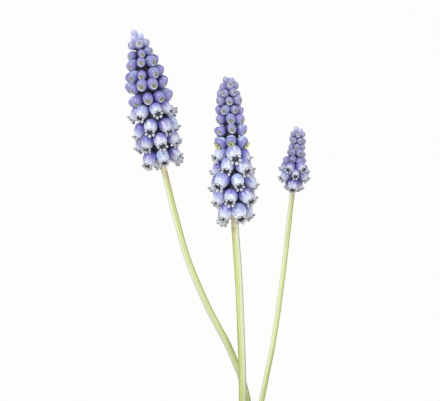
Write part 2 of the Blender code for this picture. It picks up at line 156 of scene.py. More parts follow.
def addNode(tree, kind, sockets=(), stops=(), **settings):
    # a node with its settings and colour stops, and a value, hex colour or link for each socket, by name
    # or in order. A node stands for its first output in use.
    node = tree.nodes.new(kind)
    for name, value in settings.items():
        setattr(node, name, value)
    if stops:
        elements = node.color_ramp.elements
        elements.remove(elements[1])
        elements[0].position, elements[0].color = stops[0][0], colour(stops[0][1])
        for place, shade in stops[1:]:
            elements.new(place).color = colour(shade)
    for name, value in sockets.items() if isinstance(sockets, dict) else enumerate(sockets):
        if isinstance(value, bpy.types.Node):
            value = next(output for output in value.outputs if output.enabled)
        if isinstance(value, bpy.types.NodeSocket):
            tree.links.new(value, node.inputs[name])
        else:
            isHex = isinstance(value, str) and value.startswith("#")
            node.inputs[name].default_value = colour(value) if isHex else value
    return node


def newMaterial(name):
    made = bpy.data.materials.new(name)
    made.use_nodes = True
    made.node_tree.nodes.clear()
    return made, made.node_tree


def finished(made, base, layers, relief, strength, depth, surface):
    # lays colours over a material's base colour, each by its factor, and gives it its fine relief
    tree = made.node_tree
    for factor, shade in layers:
        base = addNode(tree, "ShaderNodeMix", {0: factor, 6: base, 7: shade}, data_type="RGBA")
    bump = addNode(tree, "ShaderNodeBump", {"Strength": strength, "Distance": depth, "Height": relief})
    shader = addNode(tree, "ShaderNodeBsdfPrincipled", {"Base Color": base, "Normal": bump, **surface})
    addNode(tree, "ShaderNodeOutputMaterial", {"Surface": shader})
    return made


def newTree(name, inputs):
    # a geometry nodes tree with inputs named by kind and a finish, and the sockets they come out of
    tree = bpy.data.node_groups.new(name, "GeometryNodeTree")
    tree.is_modifier = True
    tree.interface.new_socket("Geometry", in_out="INPUT", socket_type="NodeSocketGeometry")
    for kind, labels in {**inputs, "Material": ("Finish",)}.items():
        for label in labels:
            tree.interface.new_socket(label, in_out="INPUT", socket_type=f"NodeSocket{kind}")
    tree.interface.new_socket("Geometry", in_out="OUTPUT", socket_type="NodeSocketGeometry")
    return tree, tree.nodes.new("NodeGroupInput").outputs


def endTree(tree, given, shape):
    # every tree ends in real geometry with its finish
    real = addNode(tree, "GeometryNodeRealizeInstances", (shape,))
    made = addNode(tree, "GeometryNodeSetMaterial", {0: real, "Material": given["Finish"]})
    addNode(tree, "NodeGroupOutput", (made,))
    return tree


def grown(name, source, tree, values):
    # runs a tree on a source object and keeps the result as a plain mesh object
    modifier = source.modifiers.new(tree.name, "NODES")
    modifier.node_group = tree
    for socket in tree.interface.items_tree:
        if socket.in_out == "INPUT" and socket.name in values:
            modifier[socket.identifier] = values[socket.name]
    graph = bpy.context.evaluated_depsgraph_get()
    mesh = bpy.data.meshes.new_from_object(source.evaluated_get(graph))
    source.modifiers.clear()
    bpy.data.objects.remove(source)
    return added(name, mesh)


# Materials

def makeClay():
    # Terracotta, thrown and fired without glaze: matt, slightly sandy, with faint wheel lines and
    # the pale bloom of salts that water leaves low on the wall and on the rim.
    made, tree = newMaterial("firedTerracotta")
    place = addNode(tree, "ShaderNodeTexCoord").outputs["Object"]
    wheel = addNode(tree, "ShaderNodeMapping", {"Vector": place, "Scale": (6.0, 6.0, 900.0)})
    clouds, patches, grit, lines = (
        addNode(tree, "ShaderNodeTexNoise", {"Vector": where, "Scale": scale, "Detail": detail})
        for where, scale, detail in (
            (place, 45.0, 4.0), (place, 120.0, 5.0),  # 22 mm clouds and 8 mm patches
            (place, 1400.0, 2.0), (wheel, 1.0, 2.0),  # 0.7 mm grit and 1.1 mm wheel lines
        )
    )
    stops = (0.3, "#a9603f"), (0.5, "#bd7450"), (0.72, "#cc8a66")
    base = addNode(tree, "ShaderNodeValToRGB", (clouds,), stops)
    height = addNode(tree, "ShaderNodeSeparateXYZ", (place,)).outputs[2]
    specks, low, rim, patchy = (
        addNode(tree, "ShaderNodeMapRange", (value, start, end, 0.0, most))
        for value, start, end, most in (
            (grit, 0.58, 0.7, 0.45), (height, 26 * mm, 4 * mm, 0.75), (height, 75.5 * mm, 78 * mm, 0.6),
            (patches, 0.42, 0.66, 1.0),
        )
    )
    ends = addNode(tree, "ShaderNodeMath", (low, rim), operation="MAXIMUM")
    salts = addNode(tree, "ShaderNodeMath", (ends, patchy), operation="MULTIPLY")
    relief = addNode(tree, "ShaderNodeMath", (grit, lines), operation="ADD")
    layers = (specks, "#8a4a30"), (salts, "#dcc6b4")
    return finished(made, base, layers, relief, 0.5, 0.2 * mm, {"Roughness": 0.86})


def makeSoil():
    # Potting soil: damp dark peat with lighter crumbs and fibres, matt.
    made, tree = newMaterial("pottingSoil")
    place = addNode(tree, "ShaderNodeTexCoord").outputs["Object"]
    lumps = addNode(tree, "ShaderNodeTexNoise", {
        "Vector": place, "Scale": 260.0, "Detail": 6.0, "Roughness": 0.7,  # 4 mm lumps
    })
    grains = addNode(tree, "ShaderNodeTexVoronoi", {"Vector": place, "Scale": 1100.0})  # 0.9 mm grains
    stops = (0.32, "#241a14"), (0.5, "#3d2d22"), (0.68, "#5c4533"), (0.8, "#836549")
    base = addNode(tree, "ShaderNodeValToRGB", (lumps,), stops)
    base = addNode(tree, "ShaderNodeMix", {
        0: 0.35, 6: base, 7: grains.outputs["Color"],
    }, data_type="RGBA", blend_type="SOFT_LIGHT")
    return finished(made, base, (), grains, 0.7, 0.4 * mm, {"Roughness": 0.95})


def makeTunic():
    # Dry bulb tunic: thin brown papery scale with upright fibres, faintly shiny.
    made, tree = newMaterial("bulbTunic")
    place = addNode(tree, "ShaderNodeTexCoord").outputs["Object"]
    place = addNode(tree, "ShaderNodeMapping", {"Vector": place, "Scale": (1500.0, 1500.0, 90.0)})
    fibres = addNode(tree, "ShaderNodeTexNoise", {"Vector": place, "Scale": 1.0, "Detail": 3.0})  # 0.7 mm
    stops = (0.3, "#7a5233"), (0.5, "#a87a4f"), (0.7, "#cfa878")
    base = addNode(tree, "ShaderNodeValToRGB", (fibres,), stops)
    return finished(made, base, (), fibres, 0.5, 0.15 * mm, {"Roughness": 0.55})


def makeLeafSkin():
    # Leaf blade: smooth, waxy and parallel-veined, deeper green in the channel and paler along the edges.
    made, tree = newMaterial("leafBlade")
    across, along, chance = (
        addNode(tree, "ShaderNodeAttribute", attribute_name=label).outputs["Fac"]
        for label in ("across", "along", "chance")
    )
    fromRib = addNode(tree, "ShaderNodeMath", (across,), operation="ABSOLUTE")
    stops = (0.0, "#a3bf6e"), (0.12, "#6f9444"), (0.55, "#7d9f4d"), (0.93, "#a9bd72")
    base = addNode(tree, "ShaderNodeValToRGB", (fromRib,), stops)
    # 0.35 mm veins, drawn about twice as coarse as they are
    place = addNode(tree, "ShaderNodeCombineXYZ", (across, along, chance))
    place = addNode(tree, "ShaderNodeMapping", {"Vector": place, "Scale": (9, 1.6, 40)})
    veins = addNode(tree, "ShaderNodeTexNoise", {"Vector": place, "Scale": 1.0, "Detail": 3.0})
    stops = (0.36, "#55783a"), (0.5, "#86a656"), (0.66, "#b3c67c")
    veinShade = addNode(tree, "ShaderNodeValToRGB", (veins,), stops)
    foot = addNode(tree, "ShaderNodeMapRange", (along, 0.1, 0.0))
    tip = addNode(tree, "ShaderNodeMapRange", (along, 0.93, 1.0, 0.0, 0.7))
    layers = (0.55, veinShade), (foot, "#dfe3b4"), (tip, "#b59a5c")
    return finished(made, base, layers, veins, 0.35, 0.1 * mm, {
        "Roughness": 0.42, "Subsurface Weight": 0.1, "Subsurface Scale": 0.5 * mm,
    })


def makeStalkSkin():
    # Flower stalk: smooth fleshy stem, yellow-green with a pale stripe of painted highlight up one side, fine
    # lengthwise lines and two darker ones of painted shade, and a pinkish brown flush on the other side just
    # under the flower head.
    made, tree = newMaterial("stalkSkin")
    along = addNode(tree, "ShaderNodeAttribute", attribute_name="along").outputs["Fac"]
    ring = addNode(tree, "ShaderNodeAttribute", attribute_name="ring").outputs["Vector"]
    x, y, _ = addNode(tree, "ShaderNodeSeparateXYZ", (ring,)).outputs
    place = addNode(tree, "ShaderNodeCombineXYZ", (x, y, along))
    place = addNode(tree, "ShaderNodeMapping", {"Vector": place, "Scale": (3.2, 3.2, 5.0)})
    lines = addNode(tree, "ShaderNodeTexNoise", {"Vector": place, "Scale": 1.0, "Detail": 3.0})  # 0.4 mm
    stops = (0.3, "#b4c46e"), (0.46, "#ccd986"), (0.58, "#dbe59c"), (0.75, "#e8edbc")
    base = addNode(tree, "ShaderNodeValToRGB", (lines,), stops)
    # two darker lengthwise lines of painted shade, standing in for the stalk's shaded edges
    side = addNode(tree, "ShaderNodeMath", (x,), operation="ABSOLUTE")
    # a pale stripe of painted highlight up one side, and the flush on the side away from it
    paintedHighlight, paintedShade, under, shaded = (
        addNode(tree, "ShaderNodeMapRange", (value, start, end, 0.0, most))
        for value, start, end, most in (
            (x, -0.05, 0.45, 0.75), (side, 0.72, 0.93, 0.7), (along, 0.91, 0.98, 0.6), (x, 0.15, -0.45, 1.0),
        )
    )
    flush = addNode(tree, "ShaderNodeMath", (under, shaded), operation="MULTIPLY")
    layers = (paintedHighlight, "#e8f3e4"), (paintedShade, "#74824f"), (flush, "#c9a08c")
    return finished(made, base, layers, lines, 0.3, 0.1 * mm, {
        "Roughness": 0.45, "Subsurface Weight": 0.15, "Subsurface Scale": 0.6 * mm,
    })


def makeRachisSkin():
    # The head's own stem inside the florets: finely furrowed and near-black, a dark stem deepened by painted
    # shade so the gaps between the florets look deep. Below the lowest florets it still has the stalk's
    # colour.
    made, tree = newMaterial("rachisSkin")
    place = addNode(tree, "ShaderNodeTexCoord").outputs["Object"]
    furrows = addNode(tree, "ShaderNodeTexNoise", {
        "Vector": place, "Scale": 900.0, "Detail": 3.0,  # 1.1 mm furrows
    })
    # near-black: painted shade for the gaps between the florets
    stops = (0.35, "#24232b"), (0.55, "#36343f"), (0.75, "#504d60")
    paintedShade = addNode(tree, "ShaderNodeValToRGB", (furrows,), stops)
    deep = addNode(tree, "ShaderNodeAttribute", attribute_name="deep").outputs["Fac"]
    base = addNode(tree, "ShaderNodeMix", {0: deep, 6: "#e9e3bc", 7: paintedShade}, data_type="RGBA")
    return finished(made, base, (), furrows, 0.6, 0.2 * mm, {"Roughness": 0.7})


petalColours = {
    # from the root to the mouth of an open floret, and of an unopened one. The darkest stops at the root are
    # painted shade where the florets tuck under their neighbours.
    "open": (
        (0.0, "#4a4878"), (0.1, "#5d59a4"), (0.26, "#7874c8"), (0.46, "#9594db"), (0.62, "#c0c6ec"),
        (0.8, "#e0e9f7"),
    ),
    "closed": ((0.0, "#4c4a7c"), (0.25, "#6461a6"), (0.5, "#807cc4"), (0.78, "#9a97d4"), (0.9, "#8c89cb")),
    # the white-blue streaks, the pale blue over the shoulder and the brightest part of a bud's pale ring are
    # painted highlights
    "streakHighlight": "#f0f4fc", "rib": "#5551a0", "shoulderHighlight": "#c4daf4", "deep": "#5747b4",
    "pale": "#b9b8e2", "ringHighlight": "#f0f0fa", "star": "#b1b65a", "tooth": "#e6e8ec", "bloom": "#d8dc84",
    # the edge colour is painted shade round the lips, the teeth and a bud's star, and the throat colour is
    # painted shade inside the mouth
    "edge": "#3b4056", "throat": "#202a42", "eye": "#53648e", "starEye": "#4c5228",
    "fade": "#8485a0", "young": "#d3daf0",
}
# what is drawn over the petal, from the lowest layer to the highest
floretLayers = ("star", "bloom", "starEye", "tooth", "fade", "edge", "throat", "eye")
floretMarks = ("tooth", "edge", "throat", "eye", "star", "bloom", "starEye", "pale", "cap", "frost")


def makePetal():
    # Petal tube: thin, smooth and waxy with a soft sheen. Open florets go from deep violet at the shoulder
    # to a white-blue mouth with streaks of painted highlight, ringed by white teeth. Unopened ones keep
    # violet to the rim, with a yellow-green star where their tips meet, and the topmost are pale. Painted
    # shade darkens the roots, the lips, the teeth's edges and the throats, and a few shoulders carry a pale
    # blue painted highlight.
    made, tree = newMaterial("hyacinthPetal")
    shades, labels = petalColours, ("along", "stage", "chance", "fade", "young", *floretMarks)
    marks = {
        label: addNode(tree, "ShaderNodeAttribute", attribute_name=label).outputs["Fac"] for label in labels
    }
    along, chance = marks["along"], marks["chance"]
    ring = addNode(tree, "ShaderNodeAttribute", attribute_name="ring").outputs["Vector"]
    x, y, _ = addNode(tree, "ShaderNodeSeparateXYZ", (ring,)).outputs
    # each floret has its own part of the noise
    place = addNode(tree, "ShaderNodeCombineXYZ", (x, y, along))
    apart = addNode(tree, "ShaderNodeMath", (chance, 37.0), operation="MULTIPLY")
    place = addNode(tree, "ShaderNodeVectorMath", (place, apart), operation="ADD")
    pattern = {}
    # streaks of painted highlight about 1 mm wide and 3 mm long, and ribs 0.4 mm apart
    for label, scale, detail in (("streaks", (2.1, 2.1, 0.9), 2.0), ("ribs", (6.0, 6.0, 0.8), 1.0)):
        where = addNode(tree, "ShaderNodeMapping", {"Vector": place, "Scale": scale})
        sockets = {"Vector": where, "Scale": 1.0, "Detail": detail}
        pattern[label] = addNode(tree, "ShaderNodeTexNoise", sockets)
    # the pale ring round a bud's star has a painted highlight low on its left
    corner = addNode(tree, "ShaderNodeVectorMath", (ring, (-0.8, 0.6, 0.0)), operation="DOT_PRODUCT")
    ranges = {
        # what each one follows, where it starts and where it is full, and for some its least and most
        "broad": (pattern["streaks"], 0.5, 0.62), "lower": (along, 0.16, 0.52),
        "unopened": (marks["stage"], 1.0, 1.12), "few": (chance, 0.35, 0.0, 0.0, 0.65),
        "upper": (along, 0.85, 0.45), "highlightChance": (chance, 0.6, 0.85, 0.0, 0.75),
        "shoulder": (along, 0.68, 0.34), "side": (x, -0.1, 0.5),
        "ringHighlight": (corner, 0.05, 0.45), "rib": (pattern["ribs"], 0.58, 0.7, 0.0, 0.5),
    }
    part = {label: addNode(tree, "ShaderNodeMapRange", values) for label, values in ranges.items()}
    joined = {
        # white-blue streaks of painted highlight over the lower half of the open ones. A few florets are
        # deeper violet, and a few have a pale blue painted highlight on the upper side of the shoulder.
        "highlightStreaks": (part["broad"], part["lower"], "MULTIPLY"),
        "deep": (part["few"], part["upper"], "MULTIPLY"),
        "some": (part["highlightChance"], marks["cap"], "MAXIMUM"),
        "over": (part["shoulder"], part["side"], "MULTIPLY"),
        "young": (marks["young"], marks["frost"], "MAXIMUM"),
    }
    for label, (one, other, how) in joined.items():
        part[label] = addNode(tree, "ShaderNodeMath", (one, other), operation=how)
    part["shoulderHighlight"] = addNode(tree, "ShaderNodeMath", (part["over"], part["some"]), operation="MULTIPLY")
    opened, closed = (
        addNode(tree, "ShaderNodeValToRGB", (along,), shades[label]) for label in ("open", "closed")
    )
    highlightedOpen, ringShade = (
        addNode(tree, "ShaderNodeMix", {0: factor, 6: one, 7: other}, data_type="RGBA")
        for factor, one, other in (
            (part["highlightStreaks"], opened, shades["streakHighlight"]), (part["ringHighlight"], shades["pale"], shades["ringHighlight"]),
        )
    )
    layers = [(part["unopened"], closed)]
    for label in ("rib", "deep", "shoulderHighlight", "young", "pale", *floretLayers):
        shade = ringShade if label == "pale" else shades[label]
        layers.append((part.get(label, marks.get(label)), shade))
    return finished(made, highlightedOpen, layers, pattern["ribs"], 0.25, 0.1 * mm, {
        "Roughness": 0.4, "Coat Weight": 0.3, "Coat Roughness": 0.28,
        "Subsurface Weight": 0.1, "Subsurface Scale": 0.4 * mm,
    })


clay, soilFinish, tunic = makeClay(), makeSoil(), makeTunic()
leafSkin, stalkSkin, rachisSkin, petal = makeLeafSkin(), makeStalkSkin(), makeRachisSkin(), makePetal()
print("materials made")


# Pot: thrown clay with a plain collar and one drain hole

pot = {
    "height": 78 * mm, "wall": 4 * mm, "floor": 5 * mm, "edge": 1.2 * mm,
    "drainRadius": 5.5 * mm, "footRadius": 30 * mm, "bodyTopRadius": 41 * mm,
    "collarHeight": 17 * mm, "collarRadius": 46 * mm, "collarTaper": 1.5 * mm,
    "sides": 144,
    "wheelMark": 0.06 * mm,  # how far the thrower's finger lines stand up
}


def potInnerRadius(height):
    slope = (pot["bodyTopRadius"] - pot["footRadius"]) / (pot["height"] - pot["collarHeight"])
    return pot["footRadius"] - pot["wall"] + slope * height


def softCorner(before, corner, after, reach, steps=4):
    # points of a rounded corner between two straight runs
    corner = Vector(corner)
    start, end = (corner + (Vector(p) - corner).normalized() * reach for p in (before, after))
    shares = [step / steps for step in range(steps + 1)]
    return [start * (1 - t) ** 2 + corner * 2 * t * (1 - t) + end * t**2 for t in shares]


def densified(points, every):
    # extra points on long straight runs
    found = []
    for here, there in zip(points, points[1:] + points[:1]):
        count = max(1, ceil((there - here).length / every))
        found += [here.lerp(there, i / count) for i in range(count)]
    return found


def makePot():
    collarFoot = pot["height"] - pot["collarHeight"]
    footRadius = pot["collarRadius"] - pot["collarTaper"]
    floor, top = pot["floor"], pot["height"]
    corners = [
        (pot["drainRadius"], 0), (pot["footRadius"], 0), (pot["bodyTopRadius"], collarFoot),
        (footRadius, collarFoot), (pot["collarRadius"], top), (potInnerRadius(top), top),
        (potInnerRadius(floor), floor), (pot["drainRadius"], floor),
    ]
    outline = []
    for i, corner in enumerate(corners):
        outline += softCorner(corners[i - 1], corner, corners[(i + 1) % len(corners)], pot["edge"])
    outline = densified(outline, 1.5 * mm)

    def wobble(radius, height, turn):
        # the outside keeps faint wheel lines
        inside = radius < potInnerRadius(height) + 1 * mm
        if inside or height < 2 * mm:
            return radius, height
        line = noise.noise(Vector((0.3 * turn, 0, height / (1.6 * mm)))) * pot["wheelMark"]
        return min(radius + line - pot["wheelMark"], pot["collarRadius"]), height

    rows = turnedRows([(p.x, p.y) for p in outline], pot["sides"], wobble)
    dress(rowsObject("claypot", rows, clay), "clay", "pot")
    print("pot made")


makePot()


# Soil: fills the pot to under its rim, lumpy, with crumbs on top

soil = {
    "level": 70 * mm,
    "lump": 0.5 * mm, "mound": 1.2 * mm,
    "grain": 0.45 * mm,  # height of the fine lumps
    "grainScale": 900,  # of the fine lumps, for each metre
    "sides": 150, "rings": 52,
    "crumbCount": 150000.0,  # crumbs for each square metre
    "crumbSmall": 0.35 * mm, "crumbLarge": 1.1 * mm,
    "seed": 7,
}
bulb = {
    # radius and height over the soil's level, in mm
    "outline": (
        (4.5, -27), (9.2, -24.6), (12.2, -20), (13, -15), (12.2, -10), (10.3, -5), (9.1, -1.5), (8.7, 0),
    ),
    "neckRadius": 8.2 * mm, "neckHeight": 4.5 * mm, "mouthRadius": 7.2 * mm,
    "mouthFloor": 0.5 * mm,  # over the soil's level
    "sides": 96,
    "fold": 0.12 * mm,  # depth of the tunic's upright folds
}


def soilHeight(radius, turn):
    share = radius / potInnerRadius(soil["level"])
    wide = sin(7 * turn + 9 * share) * cos(4 * turn - 14 * share)
    fine = 0.6 * sin(11 * turn + 23 * share)
    fade = sqrt(max(0.0, sin(pi * share)))
    return soil["level"] + soil["lump"] * (wide + fine) * fade + soil["mound"] * (1 - share) ** 2


def bulbOutline(grow=0.0):
    points = [(r * mm + grow, soil["level"] + h * mm) for r, h in bulb["outline"]]
    return [(0, points[0][1] - grow), (points[0][0], points[0][1] - grow), *points[1:]]


def makeSoilBed():
    turns = turnsOf(soil["sides"])
    wall = potInnerRadius(soil["level"]) - gap
    inner = bulb["outline"][-1][0] * mm + gap
    pit = bulbOutline(gap)
    bottom = pot["floor"] + gap
    rows = [[roundAt(turn, radius, height) for turn in turns] for radius, height in pit[1:-1]]
    topFirst = len(rows)
    for ring in range(soil["rings"] + 1):
        radius = inner + (wall - inner) * ring / soil["rings"]
        fade = min(1.0, (radius - inner) / mm, (wall - radius) / mm)
        rows.append([])
        for turn in turns:
            x, y, _ = roundAt(turn, radius)
            rough = noise.fractal(Vector((x, y, 0)) * soil["grainScale"], 0.9, 2.0, 3) * soil["grain"] * fade
            rows[-1].append((x, y, soilHeight(radius, turn) + rough))
    topLast = len(rows) - 1
    rows.append([roundAt(turn, potInnerRadius(bottom) - gap, bottom) for turn in turns])
    bed = rowsObject("soilbed", rows, soilFinish, ((0, 0, pit[0][1]), (0, 0, bottom)))
    top = [point for row in rows[topFirst + 1:topLast - 1] for point in row]
    return bed, meshObject("crumbGround", top, loftFaces(topLast - topFirst - 2, len(turns)))


def makeCrumb():
    # one irregular crumb of unit radius, in few faces because it is repeated very often
    bm = bmesh.new()
    bmesh.ops.create_icosphere(bm, subdivisions=1, radius=1)
    for vert in bm.verts:
        vert.co *= 1 + 0.35 * noise.noise(vert.co * 1.7 + Vector((3, 1, 4)))
        vert.co.z *= 0.7
    mesh = bpy.data.meshes.new("crumb")
    bm.to_mesh(mesh)
    bm.free()
    return added("crumb", mesh)


def makeCrumbTree():
    tree, given = newTree("soilCrumbs", {
        "Object": ("Crumb",), "Float": ("Per square metre", "Smallest", "Largest"), "Int": ("Seed",),
    })
    seed = {"Seed": given["Seed"]}
    spots = addNode(tree, "GeometryNodeDistributePointsOnFaces", {
        "Mesh": given["Geometry"], "Density": given["Per square metre"], **seed,
    })
    shape = addNode(tree, "GeometryNodeObjectInfo", {"Object": given["Crumb"]})
    draw = addNode(tree, "FunctionNodeRandomValue", {2: 0.0, 3: 1.0, **seed})
    few = addNode(tree, "ShaderNodeMath", (draw, 3.0), operation="POWER")  # few large, many small
    size = addNode(tree, "ShaderNodeMapRange", {
        "Value": few, "To Min": given["Smallest"], "To Max": given["Largest"],
    })
    # tilted by up to 34 degrees, and turned by up to a full turn
    spin = addNode(tree, "FunctionNodeRandomValue", {
        0: (-0.6, -0.6, 0.0), 1: (0.6, 0.6, 6.283), **seed,
    }, data_type="FLOAT_VECTOR")
    return endTree(tree, given, addNode(tree, "GeometryNodeInstanceOnPoints", {
        "Points": spots, "Instance": shape.outputs["Geometry"], "Scale": size,
        "Rotation": addNode(tree, "FunctionNodeEulerToRotation", (spin,)),
    }))


def makeSoilPieces():
    bed, ground = makeSoilBed()
    dress(bed, "soil", "soil")
    crumb = makeCrumb()
    crumbs = grown("soilcrumbs", ground, makeCrumbTree(), {
        "Crumb": crumb, "Per square metre": soil["crumbCount"], "Smallest": soil["crumbSmall"],
        "Largest": soil["crumbLarge"], "Seed": soil["seed"], "Finish": soilFinish,
    })
    bpy.data.objects.remove(crumb)
    dress(crumbs, "soil")
    print("soil made:", len(crumbs.data.polygons), "crumb faces")


makeSoilPieces()


# Bulb: papery neck with torn scales, standing out of the soil

def makeBulb():
    top = soil["level"] + bulb["neckHeight"]
    floor = soil["level"] + bulb["mouthFloor"]
    lowest, *wall = bulbOutline()
    outline = [
        *wall,
        (bulb["neckRadius"], top - 0.8 * mm), (bulb["neckRadius"] - 0.2 * mm, top - 0.2 * mm),
        (bulb["neckRadius"] - 0.5 * mm, top), (bulb["mouthRadius"], top - 0.1 * mm),
        (bulb["mouthRadius"], floor),
    ]

    def wobble(radius, height, turn):
        if radius < bulb["mouthRadius"] + 0.2 * mm:
            return radius, height
        fold = noise.noise(Vector((cos(turn), sin(turn), 0)) * 9 + Vector((0, 0, height * 60)))
        torn = 0.6 * mm * noise.noise(Vector((cos(turn) * 4, sin(turn) * 4, 7))) - 0.3 * mm
        return radius + bulb["fold"] * (fold - 1), height + (torn if height > top - 0.5 * mm else 0)

    rows = turnedRows(outline, bulb["sides"], wobble)
    dress(rowsObject("bulbneck", rows, tunic, ((0, 0, lowest[1]), (0, 0, floor))), "tunic", "bulb")


scale = {
    "spans": ((200, 150), (330, 130), (80, 140)),  # where each starts and how far round it goes, in degrees
    "steps": 60, "rows": 10, "thick": 0.14 * mm, "seed": 21,
    # in mm: its foot and lip above the soil, and how far the lip arches and is torn
    "foot": -1.2, "lip": 4.6, "arch": 1.4, "torn": 1.5,
    # in mm: its radius at the foot, how far it leans in, curls out and waves, and the step to the next
    "radius": 8.75, "lean": 0.25, "curl": 1.05, "wave": 0.1, "stepOut": 0.1,
}


def makeScales():
    # three loose papery scales wrapped round the neck, each torn along its upper edge
    draw = random.Random(scale["seed"])
    steps, rows = scale["steps"], scale["rows"]
    for number, (start, sweep) in enumerate(scale["spans"]):
        seed, points = draw.uniform(0, 50), []
        for i in range(steps + 1):
            share = i / steps
            turn, arch = radians(start + sweep * share), sin(pi * share)
            torn = scale["torn"] * noise.noise(Vector((share * 9, seed, 0)))
            rise = scale["lip"] + scale["arch"] * arch + torn - scale["foot"]
            for j in range(rows + 1):
                up = j / rows
                out = scale["stepOut"] * number - scale["lean"] * up
                out += scale["curl"] * max(0.0, up - 0.6) ** 1.5 * arch
                out += scale["wave"] * noise.noise(Vector((share * 20, up * 2, seed)))
                height = soil["level"] + (scale["foot"] + rise * up) * mm
                points.append(roundAt(turn, (scale["radius"] + out) * mm, height))
        corners = [i * (rows + 1) + j for i in range(steps) for j in range(rows)]
        faces = [(a, a + rows + 1, a + rows + 2, a + 1) for a in corners]
        obj = meshObject(f"bulbscale_{number + 1}", points, faces, tunic)
        skin = obj.modifiers.new("thickness", "SOLIDIFY")
        skin.thickness, skin.offset = scale["thick"], 0
        dress(obj, "tunic")


makeBulb()
makeScales()
print("bulb made")


# Leaves: narrow, channelled, arching low over the rim, long and short by turns

leaf = {
    "count": 8,
    "long": 88 * mm, "short": (71 * mm, 78 * mm),
    "longLean": -0.5, "shortLean": (1.5, 3.0), "shortSway": 1.6,
    "ringRadius": 5.9 * mm,
    "startJitter": 5, "sway": 9, "roll": 16,
    "seed": 40, "steps": 80,
    "strips": 7,  # in each half of the blade; every second line between them is a rib
    "rib": 0.035 * mm,
    "thickMiddle": 0.9 * mm, "thickEdge": 0.6 * mm, "channelCurve": 1.6,
    # share of the length, and the midline's rise above the horizontal in degrees
    "rise": (
        (0, 87), (0.05, 80), (0.12, 38), (0.2, 9), (0.35, -1), (0.5, -9), (0.65, -28), (0.85, -48), (1, -60),
    ),
    "width": ((0, 3.4), (0.15, 4.2), (0.5, 5.2), (0.8, 4.4), (0.95, 2.4), (1, 1.1)),
    "channel": ((0, 0.9), (0.2, 1.2), (0.6, 0.9), (1, 0.2)),
}


def leafLine(length, lean):
    out, up = leaf["ringRadius"], soil["level"] + bulb["mouthFloor"] + gap
    line = []
    for step in range(leaf["steps"] + 1):
        share = step / leaf["steps"]
        angle = radians(keyed(leaf["rise"], share) + lean * min(1.0, share * 4))
        if step % 2 == 0:
            line.append((share, out, up, angle))
        out += cos(angle) * length / leaf["steps"]
        up += sin(angle) * length / leaf["steps"]
    return line


def makeLeaf(number):
    isLong = number % 2 == 0
    draw = random.Random(leaf["seed"] + number)
    length = leaf["long"] if isLong else draw.uniform(*leaf["short"])
    lean = leaf["longLean"] if isLong else draw.uniform(*leaf["shortLean"])
    start = 360 * number / leaf["count"] + draw.uniform(-1, 1) * leaf["startJitter"]
    sway = leaf["sway"] * draw.choice((-1, 1)) * draw.uniform(0.4, 1)
    sway *= 1 if isLong else leaf["shortSway"]
    rollAll = leaf["roll"] * draw.uniform(-1, 1)
    strips = leaf["strips"]
    spread = [i / strips for i in range(-strips, strips + 1)]
    around = 2 * len(spread)
    points, values = [], {"across": [], "along": [], "chance": []}
    for share, out, up, angle in leafLine(length, lean):
        turn = radians(start + sway * share**1.5)
        radial = Vector(roundAt(turn, 1))
        flat = Vector((-sin(turn), cos(turn), 0))
        upright = Vector((0, 0, cos(angle))) - radial * sin(angle)
        roll = radians(rollAll * share)
        side = flat * cos(roll) + upright * sin(roll)
        normal = upright * cos(roll) - flat * sin(roll)
        middle = radial * out + Vector((0, 0, up))
        half = keyed(leaf["width"], share) * mm / 2
        channel = keyed(leaf["channel"], share) * mm
        top, low = [], []
        for across in spread:
            thick = leaf["thickMiddle"] + (leaf["thickEdge"] - leaf["thickMiddle"]) * abs(across)
            thick *= sqrt(max(0.04, 1 - abs(across) ** 6))  # the edge is rounded
            rib = leaf["rib"] * cos(across * strips * pi)
            point = middle + side * half * across + normal * channel * abs(across) ** leaf["channelCurve"]
            top.append(point + normal * (thick / 2 + rib))
            low.append(point - normal * (thick / 2 + rib))
        points += top + low[::-1]
        values["across"] += spread + spread[::-1]
        values["along"] += [share] * around
        values["chance"] += [number / leaf["count"]] * around
    faces = loftFaces(len(points) // around, around, capped=True)
    obj = meshObject(f"leafblade_{number + 1}", points, faces, leafSkin, values)
    dress(obj, "leaf", f"leaf_{number + 1}")


for number in range(leaf["count"]):
    makeLeaf(number)
print("leaves made")


# Flower stalks: round stems on smooth curves from the bulb's mouth to the flower heads

stalks = {
    # radii of the foot and the top, place of the painted highlight stripe in degrees, and points up the
    # middle, in mm
    "left": {
        "radii": (1.15, 0.95),
        "paintedHighlight": -110,
        "points": (
            (1.6, 3.0, 76), (1.2, 2.9, 82), (0.2, 2.6, 89), (-1.6, 2.2, 95.5), (-3.8, 1.7, 101),
            (-6.4, 1.0, 106.8), (-9.5, 0.2, 112.5), (-13.1, -0.6, 119.7), (-18.6, -1.8, 133),
            (-22.6, -2.6, 147), (-26.1, -3.2, 161.3),
        ),
    },
    "middle": {
        "radii": (1.2, 1.2),
        "paintedHighlight": 135,
        "points": (
            (-1.0, -2.5, 76), (-1.1, -2.4, 94), (-1.6, -1.9, 110), (-2.3, -1.3, 126), (-3.5, -0.8, 143.4),
        ),
    },
    "right": {
        "radii": (0.85, 0.8),
        "paintedHighlight": 47,
        "points": (
            (3.4, -1.2, 76), (4.3, -0.6, 84), (6.7, 0.9, 96), (9.2, 2.6, 109), (11.9, 4.4, 128),
            (15.0, 6.0, 154.9),
        ),
    },
}


def smoothLine(points, every):
    ends = [points[0] * 2 - points[1], *points, points[-1] * 2 - points[-2]]
    line = []
    for before, a, b, after in zip(ends, ends[1:], ends[2:], ends[3:]):
        count = max(1, round((b - a).length / every))
        for step in range(count):
            t = step / count
            bend = before * 2 - a * 5 + b * 4 - after
            twist = a * 3 - before - b * 3 + after
            line.append(a + ((b - before) * t + bend * t**2 + twist * t**3) * 0.5)
    return [*line, points[-1]]


